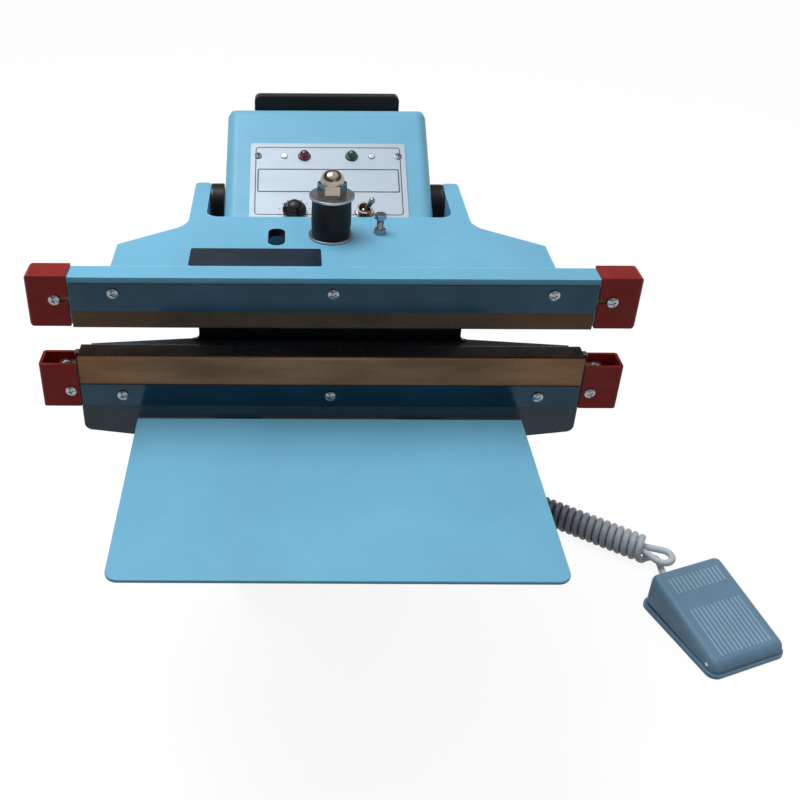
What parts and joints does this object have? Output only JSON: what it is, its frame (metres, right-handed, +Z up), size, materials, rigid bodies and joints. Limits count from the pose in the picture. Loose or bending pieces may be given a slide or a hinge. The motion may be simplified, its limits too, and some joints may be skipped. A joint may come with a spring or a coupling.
{
  "type": "impulse sealer",
  "caption": "Bench impulse heat sealer with a hinged fork arm, double heated jaws, front tray, sloped control console and a corded foot switch.",
  "frame": {"origin": "on the bench, midway between the four rubber feet", "axes": "+X along the jaws to the right as seen from the front, +Y to the back, +Z up"},
  "size_m": [0.6186, 0.45, 0.411],
  "materials": {
    "blue_paint": "semi-gloss light blue enamel",
    "shaded_blue_paint": "semi-gloss slate blue enamel on a casting",
    "dark_steel": "satin dark grey",
    "black_rubber": "satin black rubber",
    "phenolic": "pressed laminate",
    "ribbon_alloy": "nickel-chrome ribbon",
    "ptfe_cloth": "brown PTFE-coated glass cloth, slightly glossy",
    "polished_strip": "polished stainless strip",
    "bright_screw": "bright zinc",
    "red_plastic": "red moulded plastic",
    "brass": "machined brass",
    "silicone": "red-brown silicone rubber",
    "turned_steel": "turned steel",
    "zinc_plate": "zinc plate",
    "nickel": "bright nickel plate",
    "black_paint": "black powder coat",
    "lamination": "varnished steel",
    "copper_winding": "enamelled copper under tape",
    "spring_steel": "spring wire",
    "circuit_board": "epoxy laminate with components",
    "black_plastic": "black moulded plastic",
    "button_red": "red moulded plastic",
    "silver_panel": "satin silver",
    "green_lens": "translucent green lens",
    "red_lens": "translucent red lens",
    "switch_metal": "bright nickel plate",
    "slate_plastic": "slate blue moulded plastic",
    "grey_cord": "grey PVC sheath"
  },
  "bodies": {
    "base": {"base_cabinet": "blue_paint", "base_plate": "dark_steel", "rubber_feet": "black_rubber", "lower_jaw_casting": "shaded_blue_paint", "lower_insulators": "phenolic", "lower_heating_element": "ribbon_alloy", "lower_ptfe_cover": "ptfe_cloth", "lower_clamp_strips": "polished_strip", "pan_screws": "bright_screw", "lower_end_caps": "red_plastic", "lower_terminals": "brass", "pivot_pins": "turned_steel", "hinge_brackets": "black_paint", "frame_bolts": "zinc_plate", "solenoid_frame": "lamination", "solenoid_coil": "copper_winding", "return_spring": "spring_steel", "transformer_core": "lamination", "transformer_winding": "copper_winding", "timer_board": "circuit_board", "limit_switch": "black_plastic", "console_housing": "blue_paint", "control_panel": "silver_panel", "power_lamp": "green_lens", "heat_lamp": "red_lens", "timer_potentiometer": "switch_metal", "toggle_switch": "switch_metal", "rear_cover": "black_paint", "tray": "blue_paint", "tray_brackets": "blue_paint", "foot_switch_base": "slate_plastic", "foot_switch_pin": "turned_steel", "foot_switch_spring": "spring_steel", "foot_micro_switch": "black_plastic", "cord_glands": "black_plastic", "cord_lead": "grey_cord", "cord_hank": "grey_cord"},
    "arm": {"upper_arm": "blue_paint", "upper_jaw_beam": "blue_paint", "upper_silicone_pad": "silicone", "upper_heating_element": "ribbon_alloy", "upper_ptfe_cover": "ptfe_cloth", "upper_clamp_strips": "polished_strip", "upper_pan_screws": "bright_screw", "upper_end_caps": "red_plastic", "upper_end_blocks": "phenolic", "upper_terminals": "brass", "pull_rod": "turned_steel", "buffer_rubber": "black_rubber", "buffer_washers": "zinc_plate", "dome_nut": "nickel", "limit_screw": "bright_screw", "pivot_bushes": "brass"},
    "plunger": {"solenoid_plunger": "turned_steel", "clevis_pin": "turned_steel"},
    "tread": {"foot_switch_tread": "slate_plastic"},
    "knob": {"timer_knob": "black_plastic"},
    "toggle": {"toggle_lever": "switch_metal"},
    "limit": {"limit_button": "button_red"}
  },
  "joints": [
    {"name": "arm_hinge", "type": "hinge", "parent": "base", "child": "arm", "pos_m": [0, 0.002, 0.31], "axis": [1, 0, 0], "range_deg": [0, 8.22], "stiffness_Nm_per_rad": 20, "springref_deg": -22.92},
    {"name": "plunger_slide", "type": "slide", "parent": "base", "child": "plunger", "axis": [0, 0, -1], "range_m": [0, 0.0136], "deforming": ["return_spring"]},
    {"name": "tread_hinge", "type": "hinge", "parent": "base", "child": "tread", "pos_m": [0.36162, -0.19048, 0.0085], "axis": [-0.9336, -0.3584, 0], "range_deg": [0, 2], "stiffness_Nm_per_rad": 10, "springref_deg": -2.86, "deforming": ["foot_switch_spring"]},
    {"name": "knob_turn", "type": "hinge", "parent": "base", "child": "knob", "pos_m": [-0.0275, -0.04637, 0.35391], "axis": [0, -0.4726, 0.8813], "range_deg": [-135, 135]},
    {"name": "toggle_flip", "type": "hinge", "parent": "base", "child": "toggle", "pos_m": [0.028, -0.04542, 0.35215], "axis": [0, -0.8813, -0.4726], "range_deg": [0, 42]},
    {"name": "limit_press", "type": "slide", "parent": "base", "child": "limit", "axis": [0, 0, -1], "range_m": [0, 0.001], "stiffness_N_per_m": 500, "springref_m": -0.002}
  ],
  "couplings": [
    {"joint": "plunger_slide", "follows": "arm_hinge", "m_per_rad": 0.092681}
  ]
}
